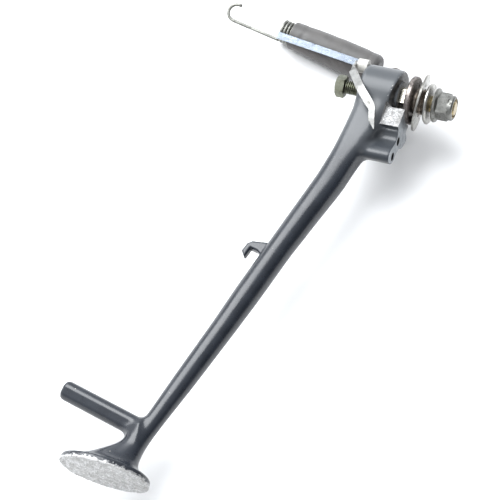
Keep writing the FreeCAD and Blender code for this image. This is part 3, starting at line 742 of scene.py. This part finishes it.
def peg_field(x, down, z):
    """Stub from the bar with a broad top flat, bevels beside it and a blunt end."""
    top = down * PEG_LEAN + z * PEG_RISE
    beside = down * PEG_RISE - z * PEG_LEAN
    peg = np.sqrt(down ** 2 + z ** 2) - PEG_RADIUS
    peg = soft_max(peg, top - PEG_RADIUS * 0.82, 0.8)
    peg = soft_max(peg, np.abs(beside) * 0.62 + top * 0.785 - PEG_RADIUS * 0.94, 0.6)
    peg = soft_max(peg, -x - PEG_TIP, 3.6)
    return soft_max(peg, x + 5.0, 1.0)


def leg_field(field):
    """Forging with its peg and foot, with stock left on the machined faces."""
    row_x, row_y, row_z = field.row
    local_x, local_y, local_z = field.local
    whole = soft_min(boss_field(row_x, row_y, row_z), bar_field(field), 3.0)

    stop_middle = (STOP_START + SWITCH_FACE + STOCK) / 2
    stop = np.maximum(np.abs(row_x - stop_middle) - (SWITCH_FACE + STOCK - STOP_START) / 2,
                      np.abs(row_y - (STOP_NEAR + STOP_FAR) / 2) - (STOP_NEAR - STOP_FAR) / 2)
    stop = soft_max(stop, np.abs(row_z + 1.0) - 10.4 - STOCK, 0.8)

    head = slice(None), field.local[1].ravel() > -95.0, slice(None)
    part_x, part_y, part_z = (np.broadcast_to(axis, whole.shape)[head] for axis in field.row)
    switch = polygon_field(part_y, part_z, eased(SWITCH_OUTLINE))
    switch = soft_max(switch, np.maximum(part_x - SWITCH_FACE - STOCK, -20.0 - part_x), 1.4)
    whole[head] = soft_min(whole[head], switch, 4.0)
    whole = np.minimum(whole, stop)

    peg_down = -local_y - PEG_REACH
    fillet = 4.5 + 7.0 / (1 + np.exp(-(peg_down - 1.0) / 2.5))
    whole = soft_min(whole, peg_field(local_x, peg_down, local_z), fillet)

    run, across, height = field.about(sole_centre, sole_long, sole_wide, -sole_normal)
    oval = (np.sqrt((run / SOLE_LONG) ** 2 + (across / SOLE_WIDE) ** 2) - 1) * SOLE_WIDE
    plate = soft_max(oval, np.abs(height - 1.0) - 4.2, 2.0)
    return soft_min(whole, plate, 10.0)


def machine_head(leg):
    """Cuts the boss's ends and bores, the stop face and the switch face with its holes."""
    here = Matrix.Identity(4)

    def round_cut(name, start, end, radius, finish, place=here, sides=96):
        """Cuts a cylinder about the place's X axis."""
        stations = [(start, radius), (end, radius)]
        cut_away(leg, turned_form(name, stations, place, sides, finish))

    round_cut("face_in", 0.0, 4.0, RING_RADIUS + 1.0, "boss_end")
    round_cut("face_out", -BOSS_LENGTH - 8, -BOSS_LENGTH + 0.1, BOSS_RADIUS - 1.6, "boss_end")
    cut_away(leg, turned_form("bore", [
        (-BOSS_LENGTH - 3, SEAL_RADIUS), (-BOSS_LENGTH + SEAL_WIDE, SEAL_RADIUS),
        (-BOSS_LENGTH + SEAL_WIDE, BUSH_RADIUS), (-SEAL_WIDE, BUSH_RADIUS),
        (-SEAL_WIDE, SEAL_RADIUS), (3, SEAL_RADIUS)], here, material="boss_end"))
    cut_away(leg, turned_form("bore_edge", [(-0.4, SEAL_RADIUS - 0.1), (0.2, SEAL_RADIUS + 0.6)], here,
                              material="washer_zinc"))
    round_cut("washer_relief", LUG_SEAT - 0.3, LUG_SEAT + 8, WASHER_RELIEF, "machined_face")
    cut_away(leg, block_form("stop_cut", (STOP_START, STOP_FAR - 0.4, STOP_TOP),
                             (SWITCH_FACE + 4, STOP_NEAR + 0.6, 30), here, "stop_face"))
    cut_away(leg, block_form("switch_cut", (SWITCH_FACE, -75, -30), (SWITCH_FACE + 10, -10, 20),
                             here, "machined_face"))
    for sign in (-1, 1):
        place = Matrix.Translation((0, SWITCH_Y + sign * SWITCH_PITCH / 2, SWITCH_Z))
        round_cut("switch_hole", SWITCH_FACE - 12, SWITCH_FACE + 2, SWITCH_HOLE, "boss_end", place, 48)


def grease_end(leg):
    """Gives the boss's inboard end the greasy finish out to its eased rim."""
    mesh = leg.data
    count = len(mesh.polygons)
    centres = np.empty(count * 3)
    normals = np.empty(count * 3)
    slots = np.empty(count, np.int32)
    mesh.polygons.foreach_get("center", centres)
    mesh.polygons.foreach_get("normal", normals)
    mesh.polygons.foreach_get("material_index", slots)
    centres = centres.reshape(count, 3) / MM
    normals = normals.reshape(count, 3)
    radius = np.hypot(centres[:, 1], centres[:, 2])
    near_end = (radius < BOSS_RADIUS - 1.0) & (centres[:, 0] > -9.0) & (centres[:, 0] < 1.0)
    faces_inboard = normals[:, 0] > 0.75
    slots[near_end & faces_inboard & (slots == 0)] = mesh.materials.find("boss_end")
    mesh.polygons.foreach_set("material_index", slots)


def set_attribute(thing, name, values):
    """Stores one number for each vertex, which a material can read by name."""
    layer = thing.data.attributes.get(name) or thing.data.attributes.new(name, "FLOAT", "POINT")
    layer.data.foreach_set("value", np.asarray(values, np.float32))


def coordinates(thing):
    """Vertex coordinates of a mesh, in millimetres."""
    count = len(thing.data.vertices)
    flat = np.empty(count * 3)
    thing.data.vertices.foreach_get("co", flat)
    return flat.reshape(count, 3) / MM


def paint_wear(leg):
    """Marks where paint is worn: the foot's rim, the machined edges and a few knocks."""
    points = coordinates(leg)
    offset = points - np.array(sole_centre)
    run = offset @ np.array(sole_long)
    across = offset @ np.array(sole_wide)
    height = -(offset @ np.array(sole_normal))
    ring = np.sqrt((run / SOLE_LONG) ** 2 + (across / SOLE_WIDE) ** 2)
    rim = np.clip((ring - 0.80) / 0.14, 0, 1) * np.clip((5.5 - height) / 4.0, 0, 1) * (height < 12)
    turn = leg_place.to_3x3()
    local = points @ np.array(turn) - np.array(turn.transposed() @ leg_place.translation)
    peg_end = np.clip(1.0 - np.abs(local[:, 0] + PEG_TIP - 1.0) / 1.6, 0, 1) * 0.42
    radius = np.hypot(points[:, 1], points[:, 2])
    fall = end_fall(points[:, 0], points[:, 1])
    head_edge = np.clip(1.0 - np.abs(fall + 1.0) / 1.2, 0, 1)
    head_edge = head_edge * (radius > BOSS_RADIUS - 1.4) * (radius < 20) * 0.5
    stop_edge = np.clip(1.2 - np.abs(points[:, 2] - STOP_TOP), 0, 1)
    stop_edge = stop_edge * (points[:, 1] < -14) * (points[:, 1] > -31)
    stop_edge *= (points[:, 0] > STOP_START - 1) * 0.55
    set_attribute(leg, "wear", np.max([rim * 0.62, head_edge, stop_edge, peg_end], axis=0))


def split_by_plane(thing, name, point, normal):
    """Splits off what lies beyond a plane as a second closed object."""
    other = thing.copy()
    other.data = thing.data.copy()
    other.name = name
    bpy.context.scene.collection.objects.link(other)
    for piece, clear_outer in ((thing, True), (other, False)):
        work = bmesh.new()
        work.from_mesh(piece.data)
        geometry = work.verts[:] + work.edges[:] + work.faces[:]
        cut = bmesh.ops.bisect_plane(work, geom=geometry, plane_co=Vector(point) * MM, plane_no=normal,
                                     clear_outer=clear_outer, clear_inner=not clear_outer)
        rim = [item for item in cut["geom_cut"] if isinstance(item, bmesh.types.BMEdge)]
        bmesh.ops.holes_fill(work, edges=rim, sides=0)
        work.to_mesh(piece.data)
        work.free()
    return other


LEG_CELL = 0.8


def build_leg():
    """The forging's skin, with its peg, and the sole plate split off below it."""
    field = Field((-68.0, -372.0, -34.0), (30.0, 26.0, 34.0), LEG_CELL, leg_place)
    leg = field.surface("leg_skin", leg_field(field))
    dress(leg, "black_paint")
    machine_head(leg)
    grease_end(leg)
    sole = split_by_plane(leg, "sole_skin", sole_centre - sole_normal * 1.2, sole_normal)
    return leg, sole


# Longest edge left on the sole's underside before it is roughened.
SOLE_EDGE = 1.2


def finish_sole(sole):
    """Trims the sole flat to its ground plane, roughens it and makes its rim ragged."""
    below = split_by_plane(sole, "sole_waste", sole_centre, sole_normal)
    bpy.data.objects.remove(below)
    work = bmesh.new()
    work.from_mesh(sole.data)
    bmesh.ops.triangulate(work, faces=[face for face in work.faces if len(face.verts) > 4])
    long_edges = [edge for edge in work.edges if edge.calc_length() > SOLE_EDGE * MM]
    for _ in range(5):
        if not long_edges:
            break
        bmesh.ops.subdivide_edges(work, edges=long_edges, cuts=1)
        bmesh.ops.triangulate(work, faces=[face for face in work.faces if len(face.verts) > 3])
        long_edges = [edge for edge in work.edges if edge.calc_length() > SOLE_EDGE * MM]
    inward = -sole_normal
    for vertex in work.verts:
        spot = vertex.co / MM
        depth = (spot - sole_centre).dot(inward)
        if depth < 0.4:
            rough = noise.fractal(spot * 0.35, 0.6, 2.2, 4)
            vertex.co += inward * max(0.0, 0.28 + rough * 0.45) * MM
    bmesh.ops.recalc_face_normals(work, faces=work.faces)
    work.to_mesh(sole.data)
    work.free()
    dress(sole, "bare_casting")
    smooth_by_angle(sole, 40)


leg_skin, sole_skin = build_leg()
finish_sole(sole_skin)
smooth_by_angle(leg_skin, 30)
paint_wear(leg_skin)
put_on(leg_skin, "leg", "black_paint", "leg_forging", "kick_peg")
put_on(sole_skin, "leg", "bare_casting", "sole_plate")


# The catch hook across and down the leg, measured from where its root starts.
CATCH_OUTLINE = ((-4.0, -2.0), (-9.4, 0.0), (-19.2, 3.8), (-21.5, 7.2), (-21.7, 13.8), (-17.4, 17.2),
                 (-17.0, 14.8), (-17.0, 9.1), (-11.8, 9.1), (-8.1, 10.7), (-4.0, 12.0))


def catch_hook():
    """Flat-sided hook at the side of the leg, thick at its root."""
    field = Field((-27.0, -CATCH_REACH - 22.0, -5.0), (0.0, -CATCH_REACH + 6.0, 5.0), 0.4, leg_place)
    x, y, z = field.local
    corners = [(across, -CATCH_REACH - down) for across, down in CATCH_OUTLINE]
    solid = soft_max(polygon_field(x, y, corners), np.abs(z) - CATCH_THICK / 2, 2.0)
    outside = 8.8 - np.sqrt((x - 0.2) ** 2 + z ** 2)
    hook = field.surface("catch_hook_skin", np.maximum(solid, outside))
    set_attribute(hook, "wear", np.zeros(len(hook.data.vertices)))
    dress(hook, "black_paint")
    put_on(hook, "leg", "black_paint", "catch_hook")


catch_hook()

# ---------------------------------------------------------------- strap and stay


def guide_strap():
    """Bright flat strap from the post over the front of the boss to a pointed free tip."""
    strap_x = -BOSS_LENGTH - POST_STACK - STRAP_THICK / 2
    eye = Vector((strap_x, POST_CENTRE.y, POST_CENTRE.z))
    bend = Vector((strap_x, 5.1, 16.4))
    crown = Vector((-24.2, -12.3, 23.0))
    shoulder = Vector((-11.3, -25.7, 20.5))
    tip = Vector((-8.2, -39.6, 15.5))
    outward = X_AXIS * -1
    leaning = Vector((-0.35, 0.1, 0.93)).normalized()
    runs = ((eye, bend, outward, outward), (bend, crown, leaning, Z_AXIS),
            (crown, shoulder, Z_AXIS, Z_AXIS), (shoulder, tip, Z_AXIS, Z_AXIS))
    path = [(eye, outward)]
    for start, end, face_start, face_end in runs:
        for step in range(8):
            share = (step + 0.5) / 8
            path.append((start.lerp(end, share), face_start.lerp(face_end, share)))
    path.append((tip, Z_AXIS))
    for _ in range(2):
        softer = [path[0]]
        for (start, face_start), (end, face_end) in zip(path, path[1:]):
            softer.append((start.lerp(end, 0.25), face_start.lerp(face_end, 0.25)))
            softer.append((start.lerp(end, 0.75), face_start.lerp(face_end, 0.75)))
        path = softer + [path[-1]]
    lower = (tip - shoulder).length
    stations = []
    for index, (point, face) in enumerate(path):
        left = (tip - point).length
        wide = float(np.interp(left, (0, 7, lower - 1, lower + 3, lower + 24),
                               (0.8, 4.6, 4.8, STRAP_WIDE, 5.8)))
        along = (path[min(index + 1, len(path) - 1)][0] - path[max(index - 1, 0)][0]).normalized()
        side = face.cross(along).normalized()
        slide = (4.6 - wide) / 2 if left < 7 else 0.0
        stations.append((point + side * slide, face.normalized(), wide))
    strap = strip_form("strap_skin", stations, STRAP_THICK)
    dress(strap, "strap_zinc")
    smooth_by_angle(strap, 40)
    put_on(strap, "leg", "zinc_plate", "guide_strap")


def boot_stay():
    """Straight bright strip along the boot."""
    lift = BOOT_RADIUS + STAY_THICK / 2 + 0.15
    start = on_spring(STAY_START, 0.6, lift)
    end = on_spring(STAY_END, 5.2, lift)
    stations = [(start.lerp(end, step / 24), stay_side, STAY_WIDE) for step in range(25)]
    stay = strip_form("stay_skin", stations, STAY_THICK, 0.2)
    dress(stay, "stay_zinc")
    smooth_by_angle(stay, 40)
    put_on(stay, "spring", "zinc_plate", "boot_stay")


guide_strap()
boot_stay()

# ---------------------------------------------------------------- spring and boot


def return_spring():
    """Close-wound coil whose wire ends in a long hook and an eye around the stud."""
    across = anchor_axis.cross(spring_axis).normalized()
    along = across.cross(anchor_axis).normalized()
    eye = []
    for step in range(41):
        angle = 2 * math.pi * step / 41
        eye.append(anchor_point + along * (EYE_RADIUS * math.cos(angle))
                   - across * (EYE_RADIUS * math.sin(angle)))
    lead = rounded_path([eye[0], on_spring(COIL_START - 1.6, 0.6),
                         on_spring(COIL_START - 0.5, COIL_RADIUS * 0.8, -1.0),
                         on_spring(COIL_START, COIL_RADIUS)], 3)
    coil = []
    per_turn = 28
    for step in range(1, COIL_TURNS * per_turn):
        angle = 2 * math.pi * step / per_turn
        coil.append(on_spring(COIL_START + COIL_PITCH * step / per_turn,
                              COIL_RADIUS * math.cos(angle), COIL_RADIUS * math.sin(angle)))
    coil_end = COIL_START + COIL_PITCH * COIL_TURNS
    run_end = coil_end + HOOK_RUN
    tail = rounded_path([coil[-1], on_spring(coil_end, COIL_RADIUS),
                         on_spring(coil_end + 3.0, COIL_RADIUS), on_spring(run_end, COIL_RADIUS)], 4)
    hook = []
    for step in range(1, 25):
        angle = math.pi * step / 24
        hook.append(on_spring(run_end + HOOK_RADIUS * math.sin(angle),
                              COIL_RADIUS - HOOK_RADIUS + HOOK_RADIUS * math.cos(angle)))
    hook.append(on_spring(run_end - 1.6, COIL_RADIUS - 2 * HOOK_RADIUS - 0.2))
    spring = wire_form("spring_wire", eye[::-1] + lead[1:] + coil + tail[1:] + hook, WIRE_RADIUS, 16)
    dress(spring, "spring_steel")
    put_on(spring, "spring", "spring_steel", "return_spring")


# The boot's outside and inside as (distance along it, radius).
BOOT_OUTSIDE = ((0.0, 9.0), (0.7, 10.5), (3.0, 11.7), (9.0, 12.15), (30.0, BOOT_RADIUS), (44.0, 11.9),
                (56.0, 11.1), (66.0, 10.6), (68.4, 10.5), (BOOT_LENGTH, 10.2))
BOOT_INSIDE = ((BOOT_LENGTH, BOOT_BORE + 0.1), (BOOT_LENGTH - 10, BOOT_BORE), (30.0, BOOT_BORE),
               (5.0, BOOT_BORE), (3.6, 6.0), (3.0, 4.4), (0.6, 4.4))


def boot_radius(along):
    """Outer radius of the boot at a distance along it."""
    places, radii = zip(*BOOT_OUTSIDE)
    return float(np.interp(along, places, radii))


def boot_wall(along, angle):
    """Outer radius with the boot's lumps, its two creases and its sag."""
    spot = Vector((along * 0.06, math.cos(angle) * 0.9, math.sin(angle) * 0.9))
    lump = noise.fractal(spot, 0.8, 2.0, 3)
    crease = (0.22 * math.exp(-((along - 8.0) / 1.6) ** 2)
              + 0.18 * math.exp(-((along - 59.0) / 2.2) ** 2))
    sag = 0.35 * max(0.0, math.sin(angle * 2 + 0.8)) * math.sin(math.pi * along / BOOT_LENGTH)
    return boot_radius(along) - 0.25 - 0.35 * max(0.0, lump + 0.3) - crease - sag


def rubber_boot():
    """Soft sleeve over the coil: slightly lumpy outside, drawn in at the ends, open at both."""
    sides = 96
    rings = 110
    points = []
    sections = [(BOOT_LENGTH * index / rings, None) for index in range(rings + 1)]
    sections += BOOT_INSIDE
    for along, radius in sections:
        for side in range(sides):
            angle = 2 * math.pi * side / sides
            size = boot_wall(along, angle) if radius is None else radius
            points.append(on_spring(along, size * math.cos(angle), size * math.sin(angle)))
    boot = add_mesh("boot_skin", points, tube_faces(len(sections), sides, looped=True))
    tidy_normals(boot)
    dress(boot, "boot_rubber")
    smooth_by_angle(boot, 50)
    put_on(boot, "spring", "black_rubber", "rubber_boot")


return_spring()
rubber_boot()

# ---------------------------------------------------------------- carried-over hardware

NODE_FINISH = {
    "pivot_pin": "pin_metal",
    "thrust_washer": "dark_steel",
    "grooved_spacer": "spacer_steel",
    "thin_washer": "washer_zinc",
    "plain_washer": "washer_zinc",
    "flange_lock_nut": "nut_zinc",
    "nut_locking_ring": "ring_nylon",
    "retaining_screw": "olive_zinc",
    "keeper_washer": "washer_zinc",
    "bush_outboard": "bronze",
    "bush_inboard": "bronze",
    "seal_outboard": "seal_rubber",
    "seal_inboard": "seal_rubber",
    "post_pin": "strap_zinc",
    "post_sleeve": "off_white",
    "post_collar": "off_white",
    "anchor_stud": "dark_steel",
}
for node, finish in NODE_FINISH.items():
    dress(frame["nodes"][node], finish)

# ---------------------------------------------------------------- bench, light and camera

BENCH_NORMAL = Vector((0.155, -0.041, 0.985)).normalized()


def bench_height():
    """How far along the bench's normal the lowest shown point of the object is, in metres."""
    lowest = 1.0
    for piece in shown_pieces():
        for vertex in piece.data.vertices:
            lowest = min(lowest, vertex.co.dot(BENCH_NORMAL))
    return lowest


def bench():
    """Pale seamless bench top, tilted so that the foot, the boss and the boot rest on it."""
    half = 3.0
    side = BENCH_NORMAL.cross(Y_AXIS).normalized()
    ahead = BENCH_NORMAL.cross(side).normalized()
    centre = BENCH_NORMAL * (bench_height() - 0.0002)
    mesh = bpy.data.meshes.new("bench_top")
    signs = ((-1, -1), (1, -1), (1, 1), (-1, 1))
    corners = [centre + side * (half * a) + ahead * (half * b) for a, b in signs]
    mesh.from_pydata(corners, [], [(0, 1, 2, 3)])
    top = bpy.data.objects.new("bench_top", mesh)
    bpy.context.scene.collection.objects.link(top)
    kit = Nodes("bench_white")
    tone = kit.mix(kit.noise(60.0, 3.0), grey(0.90), grey(0.93))
    top.data.materials.append(kit.finish(tone, 0.65, 0.0, kit.bump(kit.noise(0.8, 2.0), 0.01)))


def lamp(name, place, target, size, power, colour=(1, 1, 1)):
    """Square soft light aimed at a point, in metres and watts."""
    light = bpy.data.lights.new(name, "AREA")
    light.shape = "SQUARE"
    light.size = size
    light.energy = power
    light.color = colour
    holder = bpy.data.objects.new(name, light)
    holder.location = place
    holder.rotation_euler = (Vector(target) - Vector(place)).to_track_quat("-Z", "Y").to_euler()
    bpy.context.scene.collection.objects.link(holder)


def studio():
    """Soft sky that is brightest above the key side, and two lamps."""
    world = bpy.data.worlds.new("studio")
    bpy.context.scene.world = world
    world.use_nodes = True
    tree = world.node_tree
    sky = tree.nodes["Background"]
    place = tree.nodes.new("ShaderNodeTexCoord").outputs["Generated"]
    across = tree.nodes.new("ShaderNodeVectorMath")
    across.operation = "DOT_PRODUCT"
    across.inputs[1].default_value = (-0.75, 0.45, 0.48)
    tree.links.new(place, across.inputs[0])
    ramp = tree.nodes.new("ShaderNodeMapRange")
    for label, level in (("From Min", -0.5), ("From Max", 0.8), ("To Min", 0.30), ("To Max", 1.5)):
        ramp.inputs[label].default_value = level
    tree.links.new(across.outputs["Value"], ramp.inputs["Value"])
    tree.links.new(ramp.outputs[0], sky.inputs[1])
    sky.inputs[0].default_value = (0.93, 0.96, 1.0, 1)
    middle = (-0.05, -0.15, 0.0)
    lamp("key", (-0.9, 0.35, 1.8), middle, 1.7, 70, (0.96, 0.98, 1.0))
    lamp("fill", (1.0, -0.9, 1.1), middle, 1.2, 4, (1.0, 0.98, 0.95))
    bpy.context.scene.view_settings.view_transform = "Standard"


VIEW_AZIMUTH = 32.2
VIEW_ELEVATION = 56.65
VIEW_ROLL = -15.5
VIEW_DISTANCE = 2.274
VIEW_CENTRE = Vector((-0.050, -0.150, 0.0))
VIEW_SHIFT = (-0.01125, 0.0067)
VIEW_LENS = 238.6


def camera():
    """Long lens from above, turned to the object's viewing angle."""
    azimuth = math.radians(VIEW_AZIMUTH)
    elevation = math.radians(VIEW_ELEVATION)
    back = Vector((math.sin(azimuth) * math.cos(elevation), -math.cos(azimuth) * math.cos(elevation),
                   math.sin(elevation)))
    right = Vector((math.cos(azimuth), math.sin(azimuth), 0))
    right = Matrix.Rotation(math.radians(VIEW_ROLL), 3, back) @ right
    up = back.cross(right)
    lens = bpy.data.cameras.new("camera")
    lens.lens = VIEW_LENS
    lens.sensor_width = 36.0
    lens.clip_end = 20.0
    holder = bpy.data.objects.new("camera", lens)
    place = VIEW_CENTRE + right * VIEW_SHIFT[0] + up * VIEW_SHIFT[1] + back * VIEW_DISTANCE
    turn = Matrix((right, up, back)).transposed().to_4x4()
    holder.matrix_world = Matrix.Translation(place) @ turn
    bpy.context.scene.collection.objects.link(holder)
    bpy.context.scene.camera = holder


bench()
studio()
camera()
